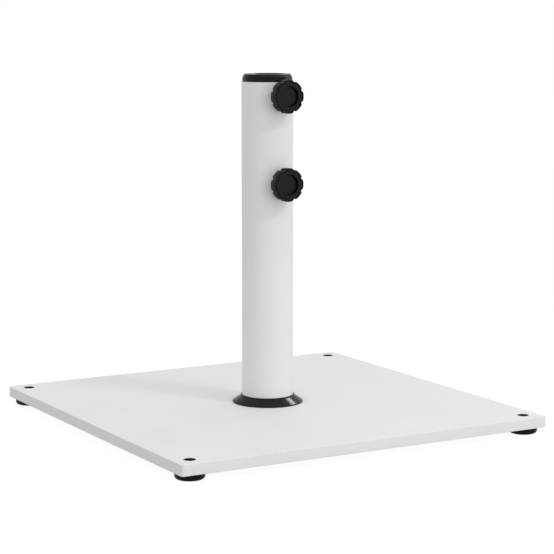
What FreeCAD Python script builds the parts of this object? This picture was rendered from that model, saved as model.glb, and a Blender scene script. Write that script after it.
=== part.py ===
"""Square steel parasol base with a clamped pole tube.

Z = 0 is the ground under the feet, the Z axis is the axis of the pole tube, the plate's sides
run along X and Y, and both clamp knobs face -Y. All sizes are in millimetres.
"""
import FreeCAD, Part
import math
import os

from FreeCAD import Vector

# Base plate
plate_side = 450.0
plate_thickness = 12.0
plate_corner_radius = 3.0
plate_edge_break = 0.8

# Feet, one near each corner of the plate
foot_diameter = 31.4
foot_height = 7.5
foot_inset = 18.3             # edge of the plate to the centre of a foot
foot_edge_radius = 5.0

# The pole and the pieces that it passes through, from the inside out
pole_diameter = 38.0
pole_clearance = 0.3          # radial, pole to reducer sleeve
sleeve_wall = 2.2
sleeve_rib_height = 2.7
sleeve_clearance = 0.3        # radial, sleeve's ribs to end ring
ring_wall = 2.3
ring_clearance = 0.2          # radial, end ring's skirt to tube
tube_wall = 2.0

# Upright tube and the flange disc welded under it
tube_height = 363.5           # top of the plate to the top edge of the tube
flange_thickness = 5.0
flange_lip = 2.5              # how far the disc stands out past the tube
weld_leg = 1.8
drain_diameter = 8.0

# End ring and the flange of the reducer sleeve above it
cap_inset = 0.8               # both flanges stand this far inside the tube's outside
ring_flange_thickness = 4.2
ring_edge_break = 0.8
sleeve_flange_thickness = 4.2
sleeve_step_height = 2.4      # lower step of its flange
sleeve_step_inset = 0.6       # lower step to the ring's flange
sleeve_top_inset = 1.8        # upper step to the ring's flange
sleeve_lead_in = 1.5
sleeve_below_lower_clamp = 30.0
sleeve_rib_count = 8
sleeve_rib_width = 2.0

# Cover ring over the tube's foot
cover_width = 11.1            # tube to the ring's outer edge
cover_edge_height = 1.2
cover_rise = 2.6              # top of the flange disc to the top of the cone
cover_lip_height = 1.2
cover_lip_wall = 1.2
cover_wall = 1.2
cover_clearance = 0.3         # radial, lip to tube

# Clamps: two knobs on M8 screws, one above the other
upper_clamp_below_top = 15.2  # top edge of the tube to the upper screw
clamp_spacing = 97.0
tip_gap = 2.0                 # pad to pole with the clamps open, which is their inward travel
hub_stop_gap = 0.5            # knob to nut when the pad is on the pole
slot_clearance = 1.0          # pad to each side of the sleeve's slot

screw_diameter = 8.0
screw_clearance = 0.1         # radial, screw to nut
screw_neck_diameter = 5.6
screw_neck_length = 1.6
head_across_flats = 13.0
head_height = 5.3

pad_diameter = 9.0
pad_thickness = 2.6
pad_clearance = 0.1           # radial, screw's neck to pad

nut_across_flats = 13.0
nut_height = 4.5
nut_pilot_diameter = 10.0
nut_pilot_length = 0.8

knob_diameter = 37.2
knob_lobes = 8
knob_notch_radius = 1.8
knob_notch_depth = 1.5
knob_notch_blend = 1.5
knob_rim_thickness = 9.5
knob_edge_radius = 1.0
knob_recess_diameter = 23.4
knob_recess_depth = 3.5
knob_hub_diameter = 20.0
knob_hub_floor = 3.0          # plastic under the screw's head
knob_disc_thickness = 1.2

# M6 screws and nuts of the feet
foot_screw_diameter = 6.0
foot_screw_head_diameter = 12.6
foot_screw_socket = 4.0       # across flats
foot_screw_socket_depth = 1.9
foot_screw_tip_height = 2.0   # above the ground
foot_nut_across_flats = 10.0
foot_nut_height = 5.0
foot_nut_lift = 0.6           # nut above the ground

# M8 screws that hold the flange disc
flange_screw_diameter = 8.0
flange_screw_head_diameter = 16.0
flange_screw_socket = 5.0     # across flats
flange_screw_socket_depth = 2.6
flange_screw_circle = 36.0    # diameter of the circle they stand on
flange_screw_cover = 1.0      # tip to the top of the disc
flange_screw_count = 4

# Clearances of fixed pieces
seat_clearance = 0.05         # threads, nuts and screw heads in their pockets
hole_clearance = 0.3          # radial, screws through plain holes
countersink_clearance = 0.15  # radial, screw heads in the plate

# Heights and radii that follow
plate_bottom = foot_height
plate_top = plate_bottom + plate_thickness
flange_top = plate_top + flange_thickness
tube_top = plate_top + tube_height
ring_top = tube_top + ring_flange_thickness
cap_top = ring_top + sleeve_flange_thickness

sleeve_bore_radius = pole_diameter / 2 + pole_clearance
sleeve_wall_radius = sleeve_bore_radius + sleeve_wall
sleeve_rib_radius = sleeve_wall_radius + sleeve_rib_height
ring_bore_radius = sleeve_rib_radius + sleeve_clearance
ring_skirt_radius = ring_bore_radius + ring_wall
tube_inner_radius = ring_skirt_radius + ring_clearance
tube_radius = tube_inner_radius + tube_wall
cap_radius = tube_radius - cap_inset
flange_radius = tube_radius + flange_lip

upper_clamp_height = tube_top - upper_clamp_below_top
lower_clamp_height = upper_clamp_height - clamp_spacing
slot_width = pad_diameter + 2 * slot_clearance
sleeve_bottom = lower_clamp_height - sleeve_below_lower_clamp
ring_skirt_depth = upper_clamp_below_top - slot_width / 2 - hub_stop_gap

# Distances from the tube's axis along a clamp screw, with the clamp open
pad_tip = pole_diameter / 2 + tip_gap
pad_back = pad_tip + pad_thickness
nut_face = tube_radius + nut_height
hub_back = nut_face + tip_gap + hub_stop_gap
head_back = hub_back + knob_hub_floor
head_front = head_back + head_height
disc_front = head_front + knob_disc_thickness
knob_front = disc_front + knob_recess_depth
rim_back = knob_front - knob_rim_thickness

# Names of the plate's corners, seen from the knobs' side, and the feet's places
foot_offset = plate_side / 2 - foot_inset
foot_places = {
    "front_left": Vector(-foot_offset, -foot_offset, 0),
    "front_right": Vector(foot_offset, -foot_offset, 0),
    "back_left": Vector(-foot_offset, foot_offset, 0),
    "back_right": Vector(foot_offset, foot_offset, 0),
}
clamp_heights = {"upper": upper_clamp_height, "lower": lower_clamp_height}


def rod(radius, low, high):
    """A cylinder on the Z axis."""
    return Part.makeCylinder(radius, high - low, Vector(0, 0, low))


def taper(low_radius, high_radius, low, high):
    """A cone frustum on the Z axis."""
    return Part.makeCone(low_radius, high_radius, high - low, Vector(0, 0, low))


def hexagon(across_flats, low, high):
    """A hexagonal prism on the Z axis with two corners on the X axis."""
    corner = across_flats / math.sqrt(3)
    points = [
        Vector(corner * math.cos(math.radians(60 * i)), corner * math.sin(math.radians(60 * i)), low)
        for i in range(7)
    ]
    return Part.Face(Part.makePolygon(points)).extrude(Vector(0, 0, high - low))


def turned(profile):
    """A ring turned about the Z axis from (radius, height) corners."""
    corners = [Vector(radius, 0, height) for radius, height in profile]
    face = Part.Face(Part.makePolygon(corners + corners[:1]))
    return face.revolve(Vector(0, 0, 0), Vector(0, 0, 1), 360)


def edges_at(shape, height):
    """The edges that lie flat at one height."""
    return [
        edge for edge in shape.Edges
        if abs(edge.BoundBox.ZMin - height) < 1e-4 and abs(edge.BoundBox.ZMax - height) < 1e-4
    ]


def upright_edges(shape):
    """The straight edges that are parallel to Z."""
    return [
        edge for edge in shape.Edges
        if edge.BoundBox.XLength < 1e-4 and edge.BoundBox.YLength < 1e-4
    ]


def largest_edges(edges):
    """The edges as far from the Z axis as the furthest one."""
    reach = [max(abs(edge.BoundBox.XMin), abs(edge.BoundBox.XMax)) for edge in edges]
    return [edge for edge, value in zip(edges, reach) if value > max(reach) - 1e-4]


def around(shape, place):
    """A copy moved to a place on the plate."""
    copy = shape.copy()
    copy.translate(place)
    return copy


def on_clamp(shape, height):
    """Turn a piece made on the Z axis so that it points along -Y, at a clamp's height."""
    copy = shape.copy()
    copy.rotate(Vector(0, 0, 0), Vector(1, 0, 0), 90)
    copy.translate(Vector(0, 0, height))
    return copy


def save(name, shape):
    shape.exportStep(f"parts/{name}.step")


def flange_screw_places():
    """Screw places on the flange disc, on the diagonals of the plate."""
    radius = flange_screw_circle / 2
    angles = [math.radians(45 + 360 * i / flange_screw_count) for i in range(flange_screw_count)]
    return [Vector(radius * math.cos(angle), radius * math.sin(angle), 0) for angle in angles]


def base_plate():
    """Steel plate with countersunk holes for the feet from above and the flange from below."""
    plate = Part.makeBox(
        plate_side, plate_side, plate_thickness, Vector(-plate_side / 2, -plate_side / 2, plate_bottom)
    )
    plate = plate.makeFillet(plate_corner_radius, upright_edges(plate))
    rims = edges_at(plate, plate_top) + edges_at(plate, plate_bottom)
    plate = plate.makeChamfer(plate_edge_break, rims)
    foot_hole = rod(foot_screw_diameter / 2 + hole_clearance, plate_bottom, plate_top)
    head_radius = foot_screw_head_diameter / 2 + countersink_clearance
    foot_hole = foot_hole.fuse(taper(0, head_radius, plate_top - head_radius, plate_top))
    flange_hole = rod(flange_screw_diameter / 2 + hole_clearance, plate_bottom, plate_top)
    head_radius = flange_screw_head_diameter / 2 + countersink_clearance
    flange_hole = flange_hole.fuse(taper(head_radius, 0, plate_bottom, plate_bottom + head_radius))
    holes = [around(foot_hole, place) for place in foot_places.values()]
    holes += [around(flange_hole, place) for place in flange_screw_places()]
    holes.append(rod(drain_diameter / 2, plate_bottom, plate_top))
    return plate.cut(holes)


def tube_flange():
    """Disc under the tube, tapped for its four screws, with the drain hole in its middle."""
    disc = rod(flange_radius, plate_top, flange_top)
    tapped = rod(flange_screw_diameter / 2 + seat_clearance, plate_top, flange_top)
    holes = [around(tapped, place) for place in flange_screw_places()]
    holes.append(rod(drain_diameter / 2, plate_top, flange_top))
    return disc.cut(holes)


def upright_tube():
    """Tube standing on the flange disc, with its weld bead and two holes for the weld nuts."""
    tube = rod(tube_radius, flange_top, tube_top)
    tube = tube.fuse(taper(tube_radius + weld_leg, tube_radius, flange_top, flange_top + weld_leg))
    tube = tube.cut(rod(tube_inner_radius, flange_top, tube_top))
    hole = rod(nut_pilot_diameter / 2 + seat_clearance, tube_inner_radius - tube_wall, tube_radius + tube_wall)
    return tube.cut([on_clamp(hole, height) for height in clamp_heights.values()]).removeSplitter()


def clamp_nut():
    """Weld nut coped to the tube, with a pilot in the tube's hole, made on the Z axis."""
    nut = hexagon(nut_across_flats, tube_inner_radius, nut_face)
    tube = Part.makeCylinder(
        tube_radius + seat_clearance, 2 * nut_across_flats, Vector(0, -nut_across_flats, 0), Vector(0, 1, 0)
    )
    nut = nut.cut(tube)
    nut = nut.fuse(rod(nut_pilot_diameter / 2, tube_radius - nut_pilot_length, nut_face))
    return nut.cut(rod(screw_diameter / 2 + screw_clearance, 0, nut_face)).removeSplitter()


def end_ring():
    """Plastic ring whose skirt sits in the tube and whose flange covers the tube's end."""
    ring = turned([
        (ring_bore_radius, tube_top - ring_skirt_depth),
        (ring_skirt_radius, tube_top - ring_skirt_depth),
        (ring_skirt_radius, tube_top),
        (cap_radius, tube_top),
        (cap_radius, ring_top),
        (ring_bore_radius, ring_top),
    ])
    rims = largest_edges(edges_at(ring, tube_top)) + largest_edges(edges_at(ring, ring_top))
    return ring.makeFillet(ring_edge_break, rims)


def reducer_sleeve():
    """Ribbed sleeve for the thinner pole, slotted so that it lifts past the clamp screws."""
    step_top = ring_top + sleeve_step_height
    step = rod(cap_radius - sleeve_step_inset, ring_top, step_top)
    step = step.makeFillet(ring_edge_break, edges_at(step, ring_top) + edges_at(step, step_top))
    top = rod(cap_radius - sleeve_top_inset, ring_top, cap_top)
    top = top.makeFillet(ring_edge_break, edges_at(top, cap_top))
    sleeve = step.fuse(top).fuse(rod(sleeve_wall_radius, sleeve_bottom, ring_top))
    rib_ring = rod(sleeve_rib_radius, sleeve_bottom, ring_top)
    for i in range(sleeve_rib_count):
        rib = Part.makeBox(
            sleeve_rib_radius, sleeve_rib_width, ring_top - sleeve_bottom,
            Vector(0, -sleeve_rib_width / 2, sleeve_bottom),
        )
        rib.rotate(Vector(0, 0, 0), Vector(0, 0, 1), 360 * (i + 0.5) / sleeve_rib_count)
        sleeve = sleeve.fuse(rib.common(rib_ring))
    bore = rod(sleeve_bore_radius, sleeve_bottom, cap_top)
    mouth_radius = sleeve_bore_radius + sleeve_lead_in
    lead_in = taper(sleeve_bore_radius, mouth_radius, cap_top - sleeve_lead_in, cap_top)
    slot = Part.makeBox(
        slot_width, sleeve_rib_radius, upper_clamp_height - sleeve_bottom,
        Vector(-slot_width / 2, -sleeve_rib_radius, sleeve_bottom),
    )
    slot_end = on_clamp(rod(slot_width / 2, 0, sleeve_rib_radius), upper_clamp_height)
    return sleeve.cut([bore, lead_in, slot, slot_end]).removeSplitter()


def cover_ring():
    """Hollow cone that rests on the plate round the tube's foot, with a thin lip at its top."""
    outer = tube_radius + cover_width
    lip_inner = tube_radius + cover_clearance
    lip_outer = lip_inner + cover_lip_wall
    cone_top = flange_thickness + cover_rise
    slope = (cone_top - cover_edge_height) / (outer - lip_outer)
    wall_drop = cover_wall * math.hypot(1, slope)
    inner_foot = outer + (cover_edge_height - wall_drop) / slope
    inner_top = (outer - lip_inner) * slope + cover_edge_height - wall_drop
    ring = turned([
        (inner_foot, plate_top),
        (outer, plate_top),
        (outer, plate_top + cover_edge_height),
        (lip_outer, plate_top + cone_top),
        (lip_outer, plate_top + cone_top + cover_lip_height),
        (lip_inner, plate_top + cone_top + cover_lip_height),
        (lip_inner, plate_top + inner_top),
    ])
    return ring


def foot():
    """Round foot with a hexagonal pocket for its nut, made on the Z axis."""
    shape = rod(foot_diameter / 2, 0, foot_height)
    shape = shape.makeFillet(foot_edge_radius, edges_at(shape, 0))
    pocket = hexagon(foot_nut_across_flats + 2 * seat_clearance, 0, foot_nut_lift + foot_nut_height)
    return shape.cut([pocket, rod(foot_screw_diameter / 2 + hole_clearance, 0, foot_height)])


def foot_nut():
    nut = hexagon(foot_nut_across_flats, foot_nut_lift, foot_nut_lift + foot_nut_height)
    return nut.cut(rod(foot_screw_diameter / 2 + seat_clearance, 0, foot_height))


def countersunk_screw(diameter, head_diameter, length, socket, socket_depth):
    """Countersunk socket screw on the Z axis, head up, with the top of its head at Z = 0."""
    head_depth = (head_diameter - diameter) / 2
    screw = rod(diameter / 2, -length, -head_depth)
    screw = screw.fuse(taper(diameter / 2, head_diameter / 2, -head_depth, 0))
    return screw.cut(hexagon(socket, -socket_depth, 0)).removeSplitter()


def foot_screw():
    """Screw down through the plate and the foot into the nut."""
    screw = countersunk_screw(
        foot_screw_diameter, foot_screw_head_diameter, plate_top - foot_screw_tip_height,
        foot_screw_socket, foot_screw_socket_depth,
    )
    return around(screw, Vector(0, 0, plate_top))


def flange_screw():
    """Screw up through the plate into the flange disc."""
    screw = countersunk_screw(
        flange_screw_diameter, flange_screw_head_diameter,
        plate_thickness + flange_thickness - flange_screw_cover,
        flange_screw_socket, flange_screw_socket_depth,
    )
    screw.rotate(Vector(0, 0, 0), Vector(1, 0, 0), 180)
    return around(screw, Vector(0, 0, plate_bottom))


def clamp_screw():
    """Hexagon-head screw, its neck in the pad and its head in the knob, made on the Z axis."""
    screw = rod(screw_neck_diameter / 2, pad_back - screw_neck_length, pad_back)
    screw = screw.fuse(rod(screw_diameter / 2, pad_back, head_back))
    return screw.fuse(hexagon(head_across_flats, head_back, head_front)).removeSplitter()


def pressure_pad():
    """Plastic pad on the screw's neck, made on the Z axis."""
    pad = rod(pad_diameter / 2, pad_tip, pad_back)
    socket_radius = screw_neck_diameter / 2 + pad_clearance
    return pad.cut(rod(socket_radius, pad_back - screw_neck_length - pad_clearance, pad_back))


def clamp_knob():
    """Lobed knob with a round recess in front and a hub behind, made on the Z axis."""
    rim = rod(knob_diameter / 2, rim_back, knob_front)
    notch_offset = knob_diameter / 2 - knob_notch_depth + knob_notch_radius
    notch = around(rod(knob_notch_radius, rim_back, knob_front), Vector(notch_offset, 0, 0))
    notches = []
    for i in range(knob_lobes):
        turned_notch = notch.copy()
        turned_notch.rotate(Vector(0, 0, 0), Vector(0, 0, 1), 360 * (i + 0.5) / knob_lobes)
        notches.append(turned_notch)
    rim = rim.cut(notches).removeSplitter()
    rim = rim.makeFillet(knob_notch_blend, upright_edges(rim))
    rim = rim.makeFillet(knob_edge_radius, edges_at(rim, rim_back) + edges_at(rim, knob_front))
    knob = rim.fuse(rod(knob_hub_diameter / 2, hub_back, rim_back))
    recess = rod(knob_recess_diameter / 2, head_front, knob_front)
    pocket = hexagon(head_across_flats + 2 * seat_clearance, head_back, head_front)
    hole = rod(screw_diameter / 2 + seat_clearance, hub_back, head_back)
    return knob.cut([recess, pocket, hole]).removeSplitter()


def knob_disc():
    """Disc that closes the screw's pocket and makes the floor of the recess."""
    return rod(knob_recess_diameter / 2 - seat_clearance, head_front, disc_front)


os.makedirs("parts", exist_ok=True)

save("base_plate", base_plate())
save("tube_flange", tube_flange())
save("upright_tube", upright_tube())
save("end_ring", end_ring())
save("reducer_sleeve", reducer_sleeve())
save("cover_ring", cover_ring())

for i, place in enumerate(flange_screw_places(), start=1):
    save(f"flange_screw_{i}", around(flange_screw(), place))

for corner, place in foot_places.items():
    save(f"foot_{corner}", around(foot(), place))
    save(f"foot_nut_{corner}", around(foot_nut(), place))
    save(f"foot_screw_{corner}", around(foot_screw(), place))

for level, height in clamp_heights.items():
    save(f"clamp_nut_{level}", on_clamp(clamp_nut(), height))
    save(f"clamp_screw_{level}", on_clamp(clamp_screw(), height))
    save(f"pressure_pad_{level}", on_clamp(pressure_pad(), height))
    save(f"clamp_knob_{level}", on_clamp(clamp_knob(), height))
    save(f"knob_disc_{level}", on_clamp(knob_disc(), height))
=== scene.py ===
import math

import bmesh
import bpy
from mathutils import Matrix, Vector
from mathutils.geometry import tessellate_polygon


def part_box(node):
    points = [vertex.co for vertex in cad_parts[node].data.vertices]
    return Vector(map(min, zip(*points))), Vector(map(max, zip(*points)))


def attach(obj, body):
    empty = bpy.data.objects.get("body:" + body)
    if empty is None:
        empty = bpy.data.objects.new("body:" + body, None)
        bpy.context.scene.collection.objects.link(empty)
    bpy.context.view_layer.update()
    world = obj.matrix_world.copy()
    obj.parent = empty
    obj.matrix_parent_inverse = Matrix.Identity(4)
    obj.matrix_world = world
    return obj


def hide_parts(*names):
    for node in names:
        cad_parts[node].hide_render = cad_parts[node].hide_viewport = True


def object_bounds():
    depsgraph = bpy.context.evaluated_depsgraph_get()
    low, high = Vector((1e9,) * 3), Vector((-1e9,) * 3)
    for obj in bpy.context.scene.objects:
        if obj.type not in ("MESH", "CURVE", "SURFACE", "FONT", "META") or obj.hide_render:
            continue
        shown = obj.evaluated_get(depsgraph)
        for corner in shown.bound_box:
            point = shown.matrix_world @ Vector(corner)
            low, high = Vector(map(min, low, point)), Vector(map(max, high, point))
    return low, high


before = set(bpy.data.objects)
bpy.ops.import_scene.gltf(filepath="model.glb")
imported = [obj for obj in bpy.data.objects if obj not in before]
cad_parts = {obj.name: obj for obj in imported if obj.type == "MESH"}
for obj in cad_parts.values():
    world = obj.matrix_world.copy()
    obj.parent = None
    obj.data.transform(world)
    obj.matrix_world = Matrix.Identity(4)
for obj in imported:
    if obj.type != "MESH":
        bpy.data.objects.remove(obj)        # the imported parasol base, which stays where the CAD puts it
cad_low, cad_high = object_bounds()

mm = 0.001


# ---------------------------------------------------------------------------------------------
# Base plate: a 12 mm steel plate cut to a square. Its edges are dressed round, and it is drilled
# and countersunk from above for the feet and from below for the flange under the tube. It is
# powder coated white after the drilling.
# ---------------------------------------------------------------------------------------------
plate_low, plate_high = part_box("base_plate")
plate_corner = 3.0 * mm
plate_edge = 0.6 * mm
foot_hole = 3.3 * mm
foot_countersink = 6.45 * mm
flange_hole = 4.3 * mm
flange_countersink = 8.15 * mm
drain_hole = 4.0 * mm
hole_lip = 0.3 * mm           # the coat rounds the rim of a hole
plate_corner_steps = 8
plate_edge_steps = 6
corner_names = ("front_left", "front_right", "back_left", "back_right")


def linear(code):
    """An sRGB hex colour as the linear colour that a socket takes."""
    levels = [int(code[i:i + 2], 16) / 255 for i in (1, 3, 5)]
    return [v / 12.92 if v <= 0.04045 else ((v + 0.055) / 1.055) ** 2.4 for v in levels] + [1.0]


def new_material(name):
    material = bpy.data.materials.new(name)
    material.use_nodes = True
    material.node_tree.nodes.clear()
    return material


def add(material, kind, settings, **feeds):
    """Add a node with its settings, and link the outputs that feed its sockets."""
    node = material.node_tree.nodes.new("ShaderNode" + kind)
    for name, value in settings.items():
        if name == "stops":
            for stop, (position, colour) in zip(node.color_ramp.elements, value):
                stop.position = position
                stop.color = colour
        elif name in node.inputs:
            node.inputs[name].default_value = value
        else:
            setattr(node, name, value)
    for name, output in feeds.items():
        material.node_tree.links.new(output, node.inputs[name.replace("_", " ")])
    return node


# Polyester powder coat, sprayed and baked: a satin white skin with a low orange peel, which
# breaks up its sheen, and fine specks of dust and haze from handling.
peel_spacing = 2.2 * mm
haze_spacing = 70 * mm
speck_spacing = 0.9 * mm

powder_coat = new_material("polyester_powder_coat_white")
place = add(powder_coat, "TexCoord", {})
peel = add(
    powder_coat, "TexNoise", {"Scale": 1 / peel_spacing, "Detail": 1.0, "Roughness": 0.4},
    Vector=place.outputs["Object"],
)
speck = add(
    powder_coat, "TexNoise", {"Scale": 1 / speck_spacing, "Detail": 2.0},
    Vector=place.outputs["Object"],
)
haze = add(
    powder_coat, "TexNoise", {"Scale": 1 / haze_spacing, "Detail": 4.0, "Roughness": 0.6},
    Vector=place.outputs["Object"],
)
shade = add(
    powder_coat, "ValToRGB", {"stops": [(0.3, linear("#E0E2E1")), (0.7, linear("#E3E5E4"))]},
    Fac=haze.outputs["Fac"],
)
gloss = add(
    powder_coat, "MapRange", {"To Min": 0.54, "To Max": 0.59},
    Value=haze.outputs["Fac"],
)
grain = add(
    powder_coat, "Bump", {"Strength": 0.3, "Distance": 0.004 * mm},
    Height=speck.outputs["Fac"],
)
skin_bump = add(
    powder_coat, "Bump", {"Strength": 0.6, "Distance": 0.02 * mm},
    Height=peel.outputs["Fac"], Normal=grain.outputs["Normal"],
)
coat = add(
    powder_coat, "BsdfPrincipled", {"IOR": 1.5, "Specular IOR Level": 0.35},
    Base_Color=shade.outputs["Color"], Roughness=gloss.outputs["Result"],
    Normal=skin_bump.outputs["Normal"],
)
add(powder_coat, "OutputMaterial", {}, Surface=coat.outputs["BSDF"])


sharp_corner = math.radians(38)
same_point = 0.0005 * mm
too_short = 0.0002 * mm


def make_piece(name, points, faces, material, body, nodes=()):
    """A mesh piece, smooth but for its sharp corners, that rides on a body and replaces CAD nodes."""
    mesh = bpy.data.meshes.new(name)
    mesh.from_pydata(points, [], faces)
    solid = bmesh.new()
    solid.from_mesh(mesh)
    bmesh.ops.remove_doubles(solid, verts=solid.verts, dist=same_point)
    bmesh.ops.dissolve_degenerate(solid, edges=solid.edges, dist=too_short)
    bmesh.ops.recalc_face_normals(solid, faces=solid.faces)
    for face in solid.faces:
        face.smooth = True
    for edge in solid.edges:
        edge.smooth = edge.calc_face_angle(0.0) < sharp_corner
    solid.to_mesh(mesh)
    solid.free()
    mesh.materials.append(material)
    piece = bpy.data.objects.new(name, mesh)
    bpy.context.scene.collection.objects.link(piece)
    shading = piece.modifiers.new("flat_faces_stay_flat", "WEIGHTED_NORMAL")
    shading.keep_sharp = True
    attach(piece, body)
    if nodes:
        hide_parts(*nodes)
    return piece


def join_rings(rings, start=0, closed=True):
    """Faces that join each ring of points to the next one, and the last to the first."""
    count = len(rings[0])
    faces = []
    for j in range(len(rings) if closed else len(rings) - 1):
        upper = (j + 1) % len(rings)
        for i in range(count):
            k = (i + 1) % count
            faces.append((
                start + j * count + i, start + j * count + k,
                start + upper * count + k, start + upper * count + i,
            ))
    return faces


def middle(node):
    low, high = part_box(node)
    return (low + high) / 2


def plate_outline(inset, height):
    """Points round the plate, set in from its sides."""
    reach = plate_high.x - plate_corner
    radius = plate_corner - inset
    points = []
    for turn, (x, y) in enumerate(((1, 1), (-1, 1), (-1, -1), (1, -1))):
        for i in range(plate_corner_steps + 1):
            angle = math.radians(90 * turn + 90 * i / plate_corner_steps)
            points.append(Vector((
                x * reach + radius * math.cos(angle), y * reach + radius * math.sin(angle), height
            )))
    return points


def circle(centre, radius, height, steps=64):
    return [
        Vector((
            centre.x + radius * math.cos(2 * math.pi * i / steps),
            centre.y + radius * math.sin(2 * math.pi * i / steps), height,
        ))
        for i in range(steps)
    ]


plate_side = []
for i in range(plate_edge_steps + 1):
    turn = math.radians(90 * i / plate_edge_steps)
    plate_side.append((
        plate_edge * (1 - math.sin(turn)), plate_low.z + plate_edge * (1 - math.cos(turn)),
    ))
plate_side += [(inset, plate_low.z + plate_high.z - height) for inset, height in reversed(plate_side)]
plate_rings = [plate_outline(inset, height) for inset, height in plate_side]
plate_faces = join_rings(plate_rings, closed=False)
plate_points = [point for ring in plate_rings for point in ring]
plate_thickness = plate_high.z - plate_low.z
plate_holes = [(middle("foot_screw_" + corner), [
    (foot_hole + hole_lip, 0), (foot_hole, hole_lip),
    (foot_hole, plate_thickness - (foot_countersink - foot_hole)),
    (foot_countersink, plate_thickness),
]) for corner in corner_names]
plate_holes += [(middle("flange_screw_%d" % i), [
    (flange_countersink, 0), (flange_hole, flange_countersink - flange_hole),
    (flange_hole, plate_thickness),
]) for i in (1, 2, 3, 4)]
plate_holes.append((Vector((0, 0, 0)), [
    (drain_hole + hole_lip, 0), (drain_hole, hole_lip),
    (drain_hole, plate_thickness),
]))
plate_skins = [[plate_rings[0]], [plate_rings[-1]]]
for centre, steps in plate_holes:
    rings = [circle(centre, radius, plate_low.z + height) for radius, height in steps]
    plate_faces += join_rings(rings, start=len(plate_points), closed=False)
    for ring in rings:
        plate_points += ring
    plate_skins[0].append(rings[0])
    plate_skins[1].append(rings[-1])
for loops in plate_skins:
    start = len(plate_points)
    for loop in loops:
        plate_points += loop
    plate_faces += [[start + i for i in corners] for corners in tessellate_polygon(loops)]
make_piece(
    "plate_cut_and_coated", plate_points, plate_faces, powder_coat, "base",
    ["base_plate"],
)


# ---------------------------------------------------------------------------------------------
# Feet: round polyethylene glides, moulded with a bowl-shaped edge so that the plate slides over
# paving. A zinc-plated M6 nut sits in the hexagonal pocket underneath, and a black M6 socket
# screw comes down through the plate's countersink into it.
# ---------------------------------------------------------------------------------------------
foot_edge = 5.0 * mm
foot_nut_across = 10.0 * mm
foot_nut_slack = 0.05 * mm
foot_rim_share = 0.66         # rim round the nut's pocket, of the nut's width
foot_face_round = 0.5 * mm
foot_hole_break = 0.3 * mm
foot_pocket_lift = 0.4 * mm
foot_nut_slope = 0.4 * mm
m6_pitch = 1.0 * mm
m6_core = 2.45 * mm
m6_crest = 2.97 * mm
m6_slack = 0.05 * mm
foot_socket = 4.0 * mm
foot_socket_depth = 1.9 * mm


def upright(centre):
    """Places a point of a piece that stands on the plate: radius, angle and height."""
    def put(radius, angle, height):
        return Vector((centre.x + radius * math.cos(angle), centre.y + radius * math.sin(angle), height))
    return put


def hexagon(across):
    """The reach of a hexagon at each angle, with a corner at angle 0."""
    def reach(angle):
        return across / 2 / math.cos(angle % (math.pi / 3) - math.pi / 6)
    return reach


side_share = 0.49             # of a side, the most that one rounding takes up


def eased(corners, radius, closed=False, steps=6):
    """A profile with round corners. A corner may give its own rounding as a third number."""
    points = []
    count = len(corners)
    for i, corner in enumerate(corners):
        here = Vector(corner[:2])
        ease = corner[2] if len(corner) > 2 else radius
        if ease == 0 or not closed and i in (0, count - 1):
            points.append(tuple(here))
            continue
        back = Vector(corners[i - 1][:2]) - here
        ahead = Vector(corners[(i + 1) % count][:2]) - here
        half = back.angle(ahead) / 2
        run = min(ease / math.tan(half), side_share * back.length, side_share * ahead.length)
        ease = run * math.tan(half)
        centre = here + (back.normalized() + ahead.normalized()).normalized() * ease / math.sin(half)
        first = here + back.normalized() * run - centre
        last = here + ahead.normalized() * run - centre
        start = math.atan2(first.y, first.x)
        sweep = (math.atan2(last.y, last.x) - start + math.pi) % (2 * math.pi) - math.pi
        for j in range(steps + 1):
            angle = start + sweep * j / steps
            points.append((centre.x + ease * math.cos(angle), centre.y + ease * math.sin(angle)))
    return points


def turned(profile, put, steps=96, closed=True):
    """Points and faces of a turned piece. A profile's radius or height may depend on the angle."""
    rings = []
    for radius, height in profile:
        ring = []
        for i in range(steps):
            angle = 2 * math.pi * i / steps
            ring.append(put(
                radius(angle) if callable(radius) else radius, angle,
                height(angle) if callable(height) else height,
            ))
        rings.append(ring)
    return [point for ring in rings for point in ring], join_rings(rings, closed=closed)


nut_face_share = 0.97         # flat face of a nut, of its width across flats
nut_chamfer = math.tan(math.radians(30))


def nut_profile(across, bore, low, high, countersink):
    """A hexagon nut with both faces chamfered and its bore countersunk."""
    reach = hexagon(across)
    face_radius = nut_face_share * across / 2

    def chamfer(angle):
        return (reach(angle) - face_radius) * nut_chamfer

    def lower(angle):
        return low + chamfer(angle)

    def upper(angle):
        return high - chamfer(angle)

    return [
        (bore, low + countersink), (bore + countersink, low), (face_radius, low), (reach, lower),
        (reach, upper), (face_radius, high), (bore + countersink, high), (bore, high - countersink),
    ]


thread_crest_share = 0.12     # of half a pitch, on the flat of the crest
thread_flank_share = 0.68
thread_steps = 8              # rings to a pitch


def thread_profile(core, crest, pitch, low, high):
    """Rings of a right-hand thread that runs out at both ends."""
    def ridge(height):
        fade = min(1.0, (height - low) / pitch, (high - height) / pitch)

        def radius(angle):
            turn = (height / pitch - angle / (2 * math.pi)) % 1
            drop = 2 * min(turn, 1 - turn)
            lift = 1 - min(1.0, max(0.0, (drop - thread_crest_share) / thread_flank_share))
            return core + (crest - core) * lift * max(0.0, fade)
        return radius
    count = round((high - low) / pitch * thread_steps)
    heights = [low + (high - low) * i / count for i in range(count + 1)]
    return [(ridge(height), height) for height in heights]


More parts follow.
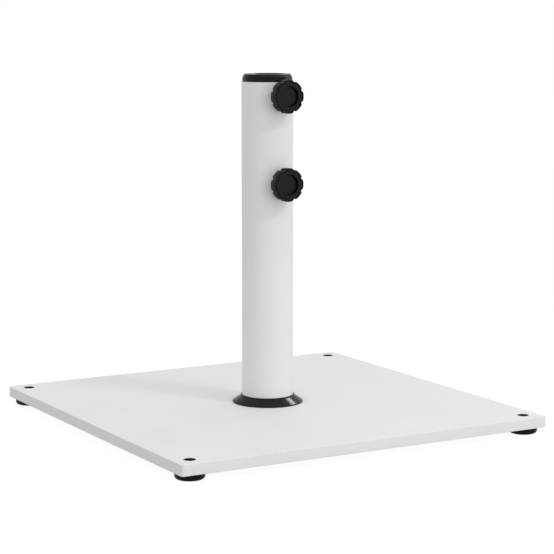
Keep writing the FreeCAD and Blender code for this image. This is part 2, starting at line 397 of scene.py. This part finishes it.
# Black polyethylene, moulded: a waxy satin skin with a fine erosion grain and scuffs underneath.
foot_grain = 0.6 * mm         # drawn coarser than it is, so that it shows
foot_scuff = 6 * mm
foot_plastic = new_material("polyethylene_moulded_black")
place = add(foot_plastic, "TexCoord", {})
grain = add(
    foot_plastic, "TexNoise", {"Scale": 1 / foot_grain, "Detail": 3.0}, Vector=place.outputs["Object"]
)
scuff = add(
    foot_plastic, "TexNoise", {"Scale": 1 / foot_scuff, "Detail": 5.0}, Vector=place.outputs["Object"]
)
shade = add(
    foot_plastic, "ValToRGB", {"stops": [(0.35, linear("#040404")), (0.8, linear("#0B0B0C"))]},
    Fac=scuff.outputs["Fac"],
)
gloss = add(foot_plastic, "MapRange", {"To Min": 0.34, "To Max": 0.5}, Value=scuff.outputs["Fac"])
bump = add(
    foot_plastic, "Bump", {"Strength": 0.5, "Distance": 0.02 * mm}, Height=grain.outputs["Fac"]
)
plastic = add(
    foot_plastic, "BsdfPrincipled", {"IOR": 1.51, "Specular IOR Level": 0.1},
    Base_Color=shade.outputs["Color"], Roughness=gloss.outputs["Result"],
    Normal=bump.outputs["Normal"],
)
add(foot_plastic, "OutputMaterial", {}, Surface=plastic.outputs["BSDF"])

# Zinc plating, bright and blue passivated: a silvery metal, a little clouded, with fine pits.
zinc_cloud = 3 * mm
zinc_pit = 0.4 * mm           # drawn coarser than they are, so that they show
zinc = new_material("steel_zinc_plated")
place = add(zinc, "TexCoord", {})
cloud = add(
    zinc, "TexNoise", {"Scale": 1 / zinc_cloud, "Detail": 4.0}, Vector=place.outputs["Object"]
)
pits = add(zinc, "TexNoise", {"Scale": 1 / zinc_pit, "Detail": 2.0}, Vector=place.outputs["Object"])
shade = add(
    zinc, "ValToRGB", {"stops": [(0.3, linear("#B9BDC2")), (0.7, linear("#D3D4CF"))]},
    Fac=cloud.outputs["Fac"],
)
gloss = add(zinc, "MapRange", {"To Min": 0.24, "To Max": 0.42}, Value=cloud.outputs["Fac"])
bump = add(zinc, "Bump", {"Strength": 0.4, "Distance": 0.01 * mm}, Height=pits.outputs["Fac"])
metal = add(
    zinc, "BsdfPrincipled", {"Metallic": 1.0},
    Base_Color=shade.outputs["Color"], Roughness=gloss.outputs["Result"],
    Normal=bump.outputs["Normal"],
)
add(zinc, "OutputMaterial", {}, Surface=metal.outputs["BSDF"])

# Black phosphated steel, oiled: a coat of fine dark crystals, dull and near black.
crystal = 0.35 * mm           # drawn much coarser than it is, so that it shows
oil_cloud = 1.5 * mm
phosphate = new_material("steel_phosphated_black")
place = add(phosphate, "TexCoord", {})
cloud = add(
    phosphate, "TexNoise", {"Scale": 1 / oil_cloud, "Detail": 4.0}, Vector=place.outputs["Object"]
)
crystals = add(
    phosphate, "TexVoronoi", {"Scale": 1 / crystal}, Vector=place.outputs["Object"]
)
shade = add(
    phosphate, "ValToRGB", {"stops": [(0.4, linear("#040404")), (0.85, linear("#0C0A09"))]},
    Fac=cloud.outputs["Fac"],
)
gloss = add(phosphate, "MapRange", {"To Min": 0.7, "To Max": 0.88}, Value=cloud.outputs["Fac"])
bump = add(
    phosphate, "Bump", {"Strength": 0.4, "Distance": 0.02 * mm}, Height=crystals.outputs["Distance"]
)
steel = add(
    phosphate, "BsdfPrincipled", {"IOR": 1.6, "Specular IOR Level": 0.05},
    Base_Color=shade.outputs["Color"], Roughness=gloss.outputs["Result"],
    Normal=bump.outputs["Normal"],
)
add(phosphate, "OutputMaterial", {}, Surface=steel.outputs["BSDF"])


screw_tip_share = 0.8         # flat of the tip, of the thread's core
head_break = 0.15 * mm
socket_mouth = 0.62           # radius of the socket's chamfer, of its width across flats
socket_chamfer = 0.25 * mm
socket_drill = 0.25           # depth of the drill's cone, of the width across flats


def socket_screw(put, tip, head_top, core, crest, pitch, head_radius, across, depth, flip=1):
    """A countersunk socket screw between two heights. Its head is up, or down where flip is -1."""
    cone = (head_radius - crest) * flip
    thread = thread_profile(core, crest, pitch, min(tip, head_top - cone), max(tip, head_top - cone))
    if flip < 0:
        thread.reverse()
    reach = hexagon(across)
    profile = [(0, tip), (core * screw_tip_share, tip)] + thread[1:-1]
    profile += [
        (crest, head_top - cone), (head_radius, head_top - head_break * flip),
        (head_radius - head_break, head_top), (across * socket_mouth, head_top),
        (reach, head_top - socket_chamfer * flip), (reach, head_top - depth * flip),
        (0, head_top - (depth + socket_drill * across) * flip),
    ]
    return turned(profile, put, steps=72, closed=False)


for corner in corner_names:
    foot_low, foot_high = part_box("foot_" + corner)
    foot_radius = (foot_high.x - foot_low.x) / 2
    nut_low, nut_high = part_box("foot_nut_" + corner)
    screw_low, screw_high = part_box("foot_screw_" + corner)
    put = upright(middle("foot_" + corner))
    pocket = hexagon(foot_nut_across + 2 * foot_nut_slack)
    bowl = eased([
        (foot_nut_across * foot_rim_share, foot_low.z),
        (foot_radius, foot_low.z, foot_edge),
        (foot_radius, foot_high.z, foot_face_round),
        (foot_hole + foot_hole_break, foot_high.z),
    ], foot_edge, steps=10)
    inside = [
        (foot_hole, foot_high.z - foot_hole_break), (foot_hole, nut_high.z), (pocket, nut_high.z),
        (pocket, foot_low.z + foot_pocket_lift),
    ]
    points, faces = turned(bowl + inside, put)
    make_piece("foot_glide_" + corner, points, faces, foot_plastic, "base",
               ["foot_" + corner])
    nut = nut_profile(foot_nut_across, m6_crest + m6_slack, nut_low.z, nut_high.z, foot_nut_slope)
    points, faces = turned(nut, put, steps=72)
    make_piece("foot_hex_nut_" + corner, points, faces, zinc, "base",
               ["foot_nut_" + corner])
    points, faces = socket_screw(
        put, screw_low.z, screw_high.z, m6_core, m6_crest, m6_pitch,
        (screw_high.x - screw_low.x) / 2, foot_socket, foot_socket_depth,
    )
    make_piece("foot_socket_screw_" + corner, points, faces, phosphate, "base",
               ["foot_screw_" + corner])


# ---------------------------------------------------------------------------------------------
# Flange: a steel disc, welded under the tube before coating. Four zinc-plated M8 socket screws
# come up through the plate's countersinks and hold it from below.
# ---------------------------------------------------------------------------------------------
m8_pitch = 1.25 * mm
m8_core = 3.3 * mm
m8_crest = 3.97 * mm
flange_socket = 5.0 * mm
flange_socket_depth = 2.6 * mm

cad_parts["tube_flange"].material_slots[0].material = powder_coat

for number in (1, 2, 3, 4):
    name = "flange_screw_%d" % number
    screw_low, screw_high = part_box(name)
    points, faces = socket_screw(
        upright(middle(name)), screw_high.z, screw_low.z, m8_core, m8_crest, m8_pitch,
        (screw_high.x - screw_low.x) / 2, flange_socket, flange_socket_depth, flip=-1,
    )
    make_piece("flange_socket_screw_%d" % number, points, faces, zinc, "base",
               [name])


# ---------------------------------------------------------------------------------------------
# Upright tube: a length of welded steel tube that stands on the flange and is coated with it.
# The bead that joins them was laid by hand round the tube's foot, in overlapping ripples.
# ---------------------------------------------------------------------------------------------
tube_radius = 29.0 * mm
weld_radius = 1.45 * mm
weld_stand_off = 0.25 * mm
weld_lift = 0.2 * mm
ripple_length = 2.4 * mm
ripple_low = 0.90             # thickness between two ripples, of the bead's
ripple_swell = 0.10
ripple_lean = 0.6
ripple_steps = 7
bead_sides = 12

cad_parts["upright_tube"].material_slots[0].material = powder_coat


def weld_bead(line, length, thickness):
    """A closed bead of ripples. line(angle) gives its middle and two directions across it."""
    ripples = round(length / ripple_length)
    steps = ripples * ripple_steps
    turns = [2 * math.pi * k / bead_sides for k in range(bead_sides)]
    rings = []
    for i in range(steps):
        angle = 2 * math.pi * i / steps
        ripple = angle * ripples / (2 * math.pi) % 1
        size = thickness * (ripple_low + ripple_swell * math.sin(math.pi * ripple ** ripple_lean))
        centre, out, up = line(angle)
        rings.append([centre + size * (out * math.cos(turn) + up * math.sin(turn)) for turn in turns])
    return [point for ring in rings for point in ring], join_rings(rings)


def foot_of_tube(angle):
    out = Vector((math.cos(angle), math.sin(angle), 0))
    up = Vector((0, 0, 1))
    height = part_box("tube_flange")[1].z + weld_lift
    return out * (tube_radius + weld_stand_off) + up * height, out, up


points, faces = weld_bead(foot_of_tube, 2 * math.pi * tube_radius, weld_radius)
make_piece("tube_foot_weld", points, faces, powder_coat, "base")


# ---------------------------------------------------------------------------------------------
# Weld nuts: two M8 hexagon nuts, coped to the tube's curve and welded over its two holes, one
# above the other. They are coated with the tube, and the clamp screws run in them.
# ---------------------------------------------------------------------------------------------
clamp_nut_across = 13.0 * mm
clamp_nut_bore = 4.1 * mm
clamp_nut_slope = 0.5 * mm
nut_weld_radius = 1.1 * mm
nut_weld_stand_off = 0.2 * mm
nut_weld_lift = 0.1 * mm
nut_weld_length = 3.3         # round a nut, of its width across flats


def on_clamp(height):
    """Places a point of a piece on a clamp: radius, angle and distance from the tube's axis."""
    def put(radius, angle, distance):
        return Vector((radius * math.cos(angle), -distance, height + radius * math.sin(angle)))
    return put


for level in ("upper", "lower"):
    node = "clamp_nut_" + level
    nut_front = -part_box(node)[0].y
    height = middle(node).z
    across = hexagon(clamp_nut_across)
    face_radius = nut_face_share * clamp_nut_across / 2

    def nut_edge(angle):
        return nut_front - (across(angle) - face_radius) * nut_chamfer

    def on_tube(radius):
        """How far in front of the tube's axis its surface is, at a radius round the clamp's axis."""
        def distance(angle):
            reach = radius(angle) if callable(radius) else radius
            return math.sqrt(tube_radius ** 2 - (reach * math.cos(angle)) ** 2)
        return distance

    profile = [
        (clamp_nut_bore, on_tube(clamp_nut_bore)), (across, on_tube(across)), (across, nut_edge),
        (face_radius, nut_front), (clamp_nut_bore + clamp_nut_slope, nut_front),
        (clamp_nut_bore, nut_front - clamp_nut_slope),
    ]
    points, faces = turned(profile, on_clamp(height), steps=120)
    make_piece("weld_nut_" + level, points, faces, powder_coat, "base", [node])

    def round_nut(angle):
        out = Vector((math.cos(angle), 0, math.sin(angle)))
        reach = across(angle) + nut_weld_stand_off
        distance = math.sqrt(tube_radius ** 2 - (reach * out.x) ** 2) + nut_weld_lift
        return out * reach + Vector((0, -distance, height)), out, Vector((0, -1, 0))

    points, faces = weld_bead(round_nut, nut_weld_length * clamp_nut_across, nut_weld_radius)
    make_piece("weld_nut_bead_" + level, points, faces, powder_coat, "base")


# ---------------------------------------------------------------------------------------------
# End ring and reducer sleeve: two polypropylene mouldings. The ring's skirt is pressed into the
# tube and its flange covers the cut end. The ribbed sleeve drops into it for the thinner pole,
# and lies on it with a flange in two steps.
# ---------------------------------------------------------------------------------------------
ring_edge = 0.8 * mm
ring_bore = 24.5 * mm
ring_skirt = 26.8 * mm
ring_flange_height = 4.2 * mm
ring_rim_round = 0.4 * mm
ring_tip_round = 0.6 * mm
ring_seat_round = 0.2 * mm

# Black polypropylene, moulded and glossy from a polished tool: sharp highlights, with a slow
# waviness where the wall shrank, and fine scratches from the pole.
cap_wave = 9.0 * mm
cap_scratch = 0.5 * mm        # drawn coarser than they are, so that they show
cap_plastic = new_material("polypropylene_moulded_black")
place = add(cap_plastic, "TexCoord", {})
wave = add(
    cap_plastic, "TexNoise", {"Scale": 1 / cap_wave, "Detail": 1.0}, Vector=place.outputs["Object"]
)
fine = add(
    cap_plastic, "TexNoise", {"Scale": 1 / cap_scratch, "Detail": 3.0}, Vector=place.outputs["Object"]
)
shade = add(
    cap_plastic, "ValToRGB", {"stops": [(0.3, linear("#151615")), (0.7, linear("#1A1B1A"))]},
    Fac=wave.outputs["Fac"],
)
gloss = add(cap_plastic, "MapRange", {"To Min": 0.22, "To Max": 0.34}, Value=fine.outputs["Fac"])
grain = add(
    cap_plastic, "Bump", {"Strength": 0.3, "Distance": 0.006 * mm}, Height=fine.outputs["Fac"]
)
bump = add(
    cap_plastic, "Bump", {"Strength": 0.5, "Distance": 0.05 * mm},
    Height=wave.outputs["Fac"], Normal=grain.outputs["Normal"],
)
plastic = add(
    cap_plastic, "BsdfPrincipled", {"IOR": 1.49, "Specular IOR Level": 0.12},
    Base_Color=shade.outputs["Color"], Roughness=gloss.outputs["Result"],
    Normal=bump.outputs["Normal"],
)
add(cap_plastic, "OutputMaterial", {}, Surface=plastic.outputs["BSDF"])

ring_low, ring_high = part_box("end_ring")
ring_seat = ring_high.z - ring_flange_height
profile = eased([
    (ring_bore, ring_low.z, ring_rim_round), (ring_skirt, ring_low.z, ring_tip_round),
    (ring_skirt, ring_seat, ring_seat_round), (ring_high.x, ring_seat),
    (ring_high.x, ring_high.z), (ring_bore, ring_high.z, ring_rim_round),
], ring_edge, closed=True)
points, faces = turned(profile, upright(middle("end_ring")), steps=128)
make_piece("end_ring_moulded", points, faces, cap_plastic, "base", ["end_ring"])

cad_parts["reducer_sleeve"].material_slots[0].material = cap_plastic


# ---------------------------------------------------------------------------------------------
# Cover ring: a thin hollow cone of gloss polypropylene with a low lip. It slides down the tube
# and hides the weld and the flange. It is loose, and only its weight holds it on the plate.
# ---------------------------------------------------------------------------------------------
cover_lip = 29.3 * mm
cover_lip_wall = 1.2 * mm
cover_lip_height = 1.2 * mm
cover_wall = 1.2 * mm
cover_edge = 1.2 * mm
cover_foot_round = 0.15 * mm
cover_brim_round = 0.9 * mm
cover_neck_round = 0.6 * mm
cover_lip_round = 0.4 * mm
cover_inside_round = 0.2 * mm

# Black polypropylene, moulded and polished to a gloss: a slow waviness over the cone, and dust.
cover_wave = 14 * mm
cover_dust = 0.7 * mm
gloss_plastic = new_material("polypropylene_moulded_gloss_black")
place = add(gloss_plastic, "TexCoord", {})
wave = add(
    gloss_plastic, "TexNoise", {"Scale": 1 / cover_wave, "Detail": 1.0}, Vector=place.outputs["Object"]
)
dust = add(
    gloss_plastic, "TexNoise", {"Scale": 1 / cover_dust, "Detail": 2.0}, Vector=place.outputs["Object"]
)
shade = add(
    gloss_plastic, "ValToRGB", {"stops": [(0.35, linear("#1F2022")), (0.75, linear("#252628"))]},
    Fac=dust.outputs["Fac"],
)
gloss = add(gloss_plastic, "MapRange", {"To Min": 0.12, "To Max": 0.2}, Value=dust.outputs["Fac"])
bump = add(
    gloss_plastic, "Bump", {"Strength": 0.4, "Distance": 0.05 * mm}, Height=wave.outputs["Fac"]
)
plastic = add(
    gloss_plastic, "BsdfPrincipled", {"IOR": 1.49, "Specular IOR Level": 0.06},
    Base_Color=shade.outputs["Color"], Roughness=gloss.outputs["Result"],
    Normal=bump.outputs["Normal"],
)
add(gloss_plastic, "OutputMaterial", {}, Surface=plastic.outputs["BSDF"])

cover_low, cover_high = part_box("cover_ring")
cone_top = cover_high.z - cover_lip_height
cover_slope = (cone_top - cover_low.z - cover_edge) / (cover_high.x - cover_lip - cover_lip_wall)
wall_drop = cover_wall * math.hypot(1, cover_slope)
profile = eased([
    (cover_high.x + (cover_edge - wall_drop) / cover_slope, cover_low.z, 0),
    (cover_high.x, cover_low.z, cover_foot_round),
    (cover_high.x, cover_low.z + cover_edge, cover_brim_round),
    (cover_lip + cover_lip_wall, cone_top, cover_neck_round),
    (cover_lip + cover_lip_wall, cover_high.z),
    (cover_lip, cover_high.z),
    (cover_lip, cone_top + cover_slope * cover_lip_wall - wall_drop, cover_inside_round),
], cover_lip_round, closed=True)
points, faces = turned(profile, upright(middle("cover_ring")), steps=144)
make_piece("cover_ring_moulded", points, faces, gloss_plastic, "cover",
           ["cover_ring"])


# ---------------------------------------------------------------------------------------------
# Clamps: on each zinc-plated M8 screw a nylon pad turns at the tip and presses on the pole. Its
# head is pressed into a lobed knob of filled polypropylene, and a snapped-in disc hides it.
# ---------------------------------------------------------------------------------------------
screw_neck = 2.8 * mm
screw_neck_break = 0.3 * mm
screw_neck_length = 1.6 * mm
screw_head_across = 13.0 * mm
screw_head_height = 5.3 * mm
pad_edge = 0.5 * mm
pad_back_round = 0.2 * mm
pad_socket = 2.9 * mm
pad_socket_depth = 1.7 * mm
knob_lobes = 8
knob_notch = 1.8 * mm
knob_notch_depth = 1.5 * mm
knob_blend = 1.5 * mm
knob_edge = 1.0 * mm
knob_rim_depth = 9.5 * mm
knob_recess = 11.7 * mm
knob_hub = 10.0 * mm
knob_screw_hole = 4.05 * mm
knob_floor = 3.0 * mm
knob_border = 0.6 * mm        # flat rim of the face, outside its groove
knob_groove = 1.0 * mm
knob_groove_depth = 0.9 * mm
knob_groove_wall = 0.2        # lean of the groove's walls, of its width
knob_groove_break = 0.15 * mm
knob_edge_steps = 8
knob_round = 0.6 * mm         # rim of the recess
knob_hub_round = 0.8 * mm
knob_face_reach = 2.0 * mm    # flat outside the recess, and outside the hub
knob_back_reach = 2.5 * mm
knob_hole_break = 0.4 * mm
knob_pocket_slack = 0.1 * mm
knob_pocket_rim = 0.62        # rim round the head's pocket, of the head's width
knob_cloud = 5 * mm
disc_crown = 0.25 * mm        # the disc's face stands proud in its middle
disc_edge_drop = 0.3 * mm
disc_back_round = 0.1 * mm
disc_rings = (0, 0.15, 0.3, 0.45, 0.6, 0.75, 0.88)

# Filled polypropylene, moulded in a spark-eroded tool: a dull black with an even fine grain.
knob_grain = 0.8 * mm         # drawn coarser than it is, so that it shows
knob_plastic = new_material("polypropylene_moulded_black_grain")
place = add(knob_plastic, "TexCoord", {})
grain = add(
    knob_plastic, "TexVoronoi", {"Scale": 1 / knob_grain, "feature": "SMOOTH_F1"},
    Vector=place.outputs["Object"],
)
cloud = add(
    knob_plastic, "TexNoise", {"Scale": 1 / knob_cloud, "Detail": 4.0}, Vector=place.outputs["Object"]
)
shade = add(
    knob_plastic, "ValToRGB", {"stops": [(0.3, linear("#0C0D0F")), (0.7, linear("#121315"))]},
    Fac=cloud.outputs["Fac"],
)
gloss = add(knob_plastic, "MapRange", {"To Min": 0.42, "To Max": 0.54}, Value=cloud.outputs["Fac"])
bump = add(
    knob_plastic, "Bump", {"Strength": 0.35, "Distance": 0.02 * mm}, Height=grain.outputs["Distance"]
)
plastic = add(
    knob_plastic, "BsdfPrincipled", {"IOR": 1.49, "Specular IOR Level": 0.15},
    Base_Color=shade.outputs["Color"], Roughness=gloss.outputs["Result"],
    Normal=bump.outputs["Normal"],
)
add(knob_plastic, "OutputMaterial", {}, Surface=plastic.outputs["BSDF"])

# Unfilled nylon for the pads, left its natural off-white: a waxy moulding, greyed where it rubs
# on the pole.
pad_rub = 1.2 * mm
pad_nylon = new_material("nylon_moulded_natural")
place = add(pad_nylon, "TexCoord", {})
rub = add(
    pad_nylon, "TexNoise", {"Scale": 1 / pad_rub, "Detail": 4.0}, Vector=place.outputs["Object"]
)
shade = add(
    pad_nylon, "ValToRGB", {"stops": [(0.3, linear("#BBB9B0")), (0.7, linear("#CBC9C1"))]},
    Fac=rub.outputs["Fac"],
)
gloss = add(pad_nylon, "MapRange", {"To Min": 0.38, "To Max": 0.52}, Value=rub.outputs["Fac"])
bump = add(pad_nylon, "Bump", {"Strength": 0.3, "Distance": 0.01 * mm}, Height=rub.outputs["Fac"])
plastic = add(
    pad_nylon, "BsdfPrincipled", {"IOR": 1.53, "Specular IOR Level": 0.4},
    Base_Color=shade.outputs["Color"], Roughness=gloss.outputs["Result"],
    Normal=bump.outputs["Normal"],
)
add(pad_nylon, "OutputMaterial", {}, Surface=plastic.outputs["BSDF"])


def lobed_outline(radius):
    """Points round the knob with the direction out at each: lobes, blends and notches, all arcs."""
    notch_out = radius - knob_notch_depth + knob_notch
    blend_out = radius - knob_blend
    blend_turn = math.acos(
        (blend_out ** 2 + notch_out ** 2 - (knob_notch + knob_blend) ** 2) / (2 * blend_out * notch_out)
    )
    outline = []
    for lobe in range(knob_lobes):
        middle_turn = 2 * math.pi * (lobe + 0.5) / knob_lobes
        notch_centre = notch_out * Vector((math.cos(middle_turn), math.sin(middle_turn)))
        sides = []
        for side in (-1, 1):
            turn = middle_turn + side * blend_turn
            blend_centre = blend_out * Vector((math.cos(turn), math.sin(turn)))
            meet = (notch_centre - blend_centre).normalized()
            sides.append((turn, blend_centre, math.atan2(meet.y, meet.x)))

        def arc(centre, radius_of_arc, start, end, steps, hollow=False):
            sweep = (end - start + math.pi) % (2 * math.pi) - math.pi
            for i in range(steps):
                angle = start + sweep * i / steps
                direction = Vector((math.cos(angle), math.sin(angle)))
                outline.append((centre + radius_of_arc * direction, -direction if hollow else direction))

        turn_in, centre_in, meet_in = sides[0]
        turn_out, centre_out, meet_out = sides[1]
        next_turn = middle_turn + 2 * math.pi / knob_lobes - blend_turn
        arc(centre_in, knob_blend, turn_in, meet_in, 6)
        arc(notch_centre, knob_notch, meet_in + math.pi, meet_out + math.pi, 6, hollow=True)
        arc(centre_out, knob_blend, meet_out, turn_out, 6)
        arc(Vector((0, 0)), radius, turn_out, next_turn, 8)
    return outline


def knob_mesh(put, outline, back, front):
    """The knob's rings, from the recess over the rim to the hub and back through the screw's hole."""
    angles = [math.atan2(point.y, point.x) for point, out in outline]

    def lobed(inset, distance):
        points = [point - out * inset for point, out in outline]
        return [put(p.length, math.atan2(p.y, p.x), distance) for p in points]

    def bordered(inset, distance):
        """A ring inside the edge's own, drawn in towards the axis."""
        points = [point - out * knob_edge for point, out in outline]
        return [put(p.length - inset, math.atan2(p.y, p.x), distance) for p in points]

    def round_ring(radius, distance):
        return [put(radius(a) if callable(radius) else radius, a, distance) for a in angles]

    groove_floor = front - knob_groove_depth
    head_back = back + knob_floor
    recess_floor = head_back + screw_head_height
    rim_back = front - knob_rim_depth
    rings = [
        round_ring(radius, distance) for radius, distance in eased([
            (screw_head_across * knob_pocket_rim, recess_floor), (knob_recess, recess_floor, 0),
            (knob_recess, front), (knob_recess + knob_face_reach, front),
        ], knob_round)
    ]
    rings += [
        bordered(knob_border + knob_groove + knob_groove_break, front),
        bordered(knob_border + knob_groove, front - knob_groove_break),
        bordered(knob_border + (1 - knob_groove_wall) * knob_groove, groove_floor),
        bordered(knob_border + knob_groove_wall * knob_groove, groove_floor),
        bordered(knob_border, front - knob_groove_break),
        bordered(knob_border - knob_groove_break, front),
    ]
    turns = [math.radians(90 * i / knob_edge_steps) for i in range(knob_edge_steps + 1)]
    for turn in turns:
        rings.append(lobed(knob_edge * (1 - math.sin(turn)), front - knob_edge * (1 - math.cos(turn))))
    for turn in turns:
        rings.append(lobed(knob_edge * (1 - math.cos(turn)), rim_back + knob_edge * (1 - math.sin(turn))))
    rings += [
        round_ring(radius, distance) for radius, distance in eased([
            (knob_hub + knob_back_reach, rim_back), (knob_hub, rim_back), (knob_hub, back),
            (knob_screw_hole + knob_hole_break, back, 0), (knob_screw_hole, back + knob_hole_break),
        ], knob_hub_round)
    ]
    pocket = hexagon(screw_head_across + knob_pocket_slack)
    rings += [
        round_ring(knob_screw_hole, head_back), round_ring(pocket, head_back),
        round_ring(pocket, recess_floor),
    ]
    return [point for ring in rings for point in ring], join_rings(rings)


for level in ("upper", "lower"):
    pad_low, pad_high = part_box("pressure_pad_" + level)
    knob_low, knob_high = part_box("clamp_knob_" + level)
    disc_low, disc_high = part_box("knob_disc_" + level)
    screw_low, screw_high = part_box("clamp_screw_" + level)
    put = on_clamp(middle("clamp_screw_" + level).z)

    pad_tip, pad_back = -pad_high.y, -pad_low.y
    pad_radius = pad_high.x
    profile = eased([
        (0, pad_tip), (pad_radius, pad_tip), (pad_radius, pad_back, pad_back_round),
        (pad_socket + pad_back_round, pad_back, 0), (pad_socket, pad_back - pad_back_round, 0),
        (pad_socket, pad_back - pad_socket_depth, 0), (0, pad_back - pad_socket_depth),
    ], pad_edge)
    points, faces = turned(profile, put, steps=72, closed=False)
    make_piece("clamp_pad_" + level, points, faces, pad_nylon, level + "_pad",
               ["pressure_pad_" + level])

    head_front, screw_tip = -screw_low.y, -screw_high.y
    head_back = head_front - screw_head_height
    head = hexagon(screw_head_across)
    neck_end = screw_tip + screw_neck_length
    profile = [
        (0, screw_tip), (screw_neck - screw_neck_break, screw_tip),
        (screw_neck, screw_tip + screw_neck_break), (screw_neck, neck_end),
    ]
    profile += thread_profile(m8_core, m8_crest, m8_pitch, neck_end, head_back)
    profile += [(head, head_back), (head, head_front), (0, head_front)]
    points, faces = turned(profile, put, steps=96, closed=False)
    make_piece("clamp_bolt_" + level, points, faces, zinc, level + "_knob",
               ["clamp_screw_" + level])

    points, faces = knob_mesh(put, lobed_outline(knob_high.x), -knob_high.y, -knob_low.y)
    make_piece("lobed_knob_" + level, points, faces, knob_plastic, level + "_knob",
               ["clamp_knob_" + level])

    disc_back, disc_front = -disc_high.y, -disc_low.y
    crown = [
        (disc_high.x * share, disc_front - disc_crown * share ** 2)
        for share in disc_rings
    ]
    profile = crown + eased([
        crown[-1], (disc_high.x, disc_front - disc_edge_drop, disc_crown), (disc_high.x, disc_back),
        (0, disc_back),
    ], disc_back_round)[1:]
    points, faces = turned(profile, put, steps=96, closed=False)
    make_piece("knob_cap_" + level, points, faces, knob_plastic, level + "_knob",
               ["knob_disc_" + level])


# ---------------------------------------------------------------------------------------------
# Studio: a plain white floor that runs out to a white room and its even light. A large soft lamp
# stands high at the front right and a weak one low in front. A small one at the back right only
# glints on gloss. The camera is at the front left.
# ---------------------------------------------------------------------------------------------
room_light = 0.86
key_power = 46.0
key_size = 0.8
key_place = Vector((1.9, -3.7, 3.7))
low_power = 3.6
low_size = 0.8
low_place = Vector((0.35, -1.5, 0.25))
back_power = 48.0
back_size = 0.7
back_place = Vector((2.76, 1.34, 2.84))
lamp_aim = Vector((0.0, 0.0, 0.15))
floor_size = 12.0
floor_bounce = "#C3C3C3"
floor_shadow_share = 0.07     # how much of the floor's white follows the light, and takes shadow
floor_white = 1.02            # level that the open floor shows at
floor_light = 0.9             # assumed level of the light on the open floor
camera_place = (-1.0628, -1.8722, 0.4749)
camera_yaw = math.radians(29.869)
camera_pitch = math.radians(-8.260)
camera_lens = 124.881
camera_sensor = 36.0

floor_mesh = bpy.data.meshes.new("studio_floor")
reach = floor_size / 2
floor_mesh.from_pydata(
    [(-reach, -reach, cad_low.z), (reach, -reach, cad_low.z), (reach, reach, cad_low.z),
     (-reach, reach, cad_low.z)], [], [(0, 1, 2, 3)],
)
floor = bpy.data.objects.new("studio_floor", floor_mesh)
bpy.context.scene.collection.objects.link(floor)


def looked_at(owner):
    """1 where the camera, gloss or glass looks at the studio, and 0 for the light it gives."""
    rays = add(owner, "LightPath", {})
    seen = add(owner, "Math", {"operation": "ADD"}, Value=rays.outputs["Is Camera Ray"])
    owner.node_tree.links.new(rays.outputs["Is Glossy Ray"], seen.inputs[1])
    either = add(owner, "Math", {"operation": "ADD", "use_clamp": True}, Value=seen.outputs["Value"])
    owner.node_tree.links.new(rays.outputs["Is Transmission Ray"], either.inputs[1])
    return either.outputs["Value"]


# White studio paper: it shows as plain white, and it throws back a softer light than it shows.
white_floor = new_material("studio_floor_white")
shows = looked_at(white_floor)
bounce = add(white_floor, "BsdfDiffuse", {"Color": linear(floor_bounce)})
shadow_grey = [floor_shadow_share] * 3 + [1.0]
shadow = add(white_floor, "BsdfDiffuse", {"Color": shadow_grey})
glow = add(white_floor, "Emission", {"Strength": floor_white - floor_light * floor_shadow_share})
shown = add(white_floor, "AddShader", {})
white_floor.node_tree.links.new(shadow.outputs["BSDF"], shown.inputs[0])
white_floor.node_tree.links.new(glow.outputs["Emission"], shown.inputs[1])
mix = add(white_floor, "MixShader", {}, Fac=shows)
white_floor.node_tree.links.new(bounce.outputs["BSDF"], mix.inputs[1])
white_floor.node_tree.links.new(shown.outputs["Shader"], mix.inputs[2])
add(white_floor, "OutputMaterial", {}, Surface=mix.outputs["Shader"])
floor_mesh.materials.append(white_floor)

room = bpy.data.worlds.new("studio_room")
room.use_nodes = True
room.node_tree.nodes.clear()
level = add(room, "MapRange", {"To Min": room_light, "To Max": 1.0}, Value=looked_at(room))
light = add(room, "Background", {"Color": [1.0, 1.0, 1.0, 1.0]}, Strength=level.outputs["Result"])
add(room, "OutputWorld", {}, Surface=light.outputs["Background"])
bpy.context.scene.world = room

for name, size, power, place in (
    ("key_softbox", key_size, key_power, key_place),
    ("low_softbox", low_size, low_power, low_place),
    ("back_softbox", back_size, back_power, back_place),
):
    lamp_data = bpy.data.lights.new(name, "AREA")
    lamp_data.shape = "SQUARE"
    lamp_data.size = size
    lamp_data.energy = power
    lamp = bpy.data.objects.new(name, lamp_data)
    lamp.location = place
    lamp.rotation_euler = (lamp_aim - place).to_track_quat("-Z", "Y").to_euler()
    lamp.visible_diffuse = name != "back_softbox"
    bpy.context.scene.collection.objects.link(lamp)

camera_data = bpy.data.cameras.new("camera")
camera_data.sensor_width = camera_sensor
camera_data.lens = camera_lens
camera = bpy.data.objects.new("camera", camera_data)
camera.location = camera_place
look = Vector((
    math.sin(camera_yaw) * math.cos(camera_pitch),
    math.cos(camera_yaw) * math.cos(camera_pitch),
    math.sin(camera_pitch),
))
camera.rotation_euler = look.to_track_quat("-Z", "Y").to_euler()
bpy.context.scene.collection.objects.link(camera)
bpy.context.scene.camera = camera
bpy.context.scene.view_settings.view_transform = "Standard"
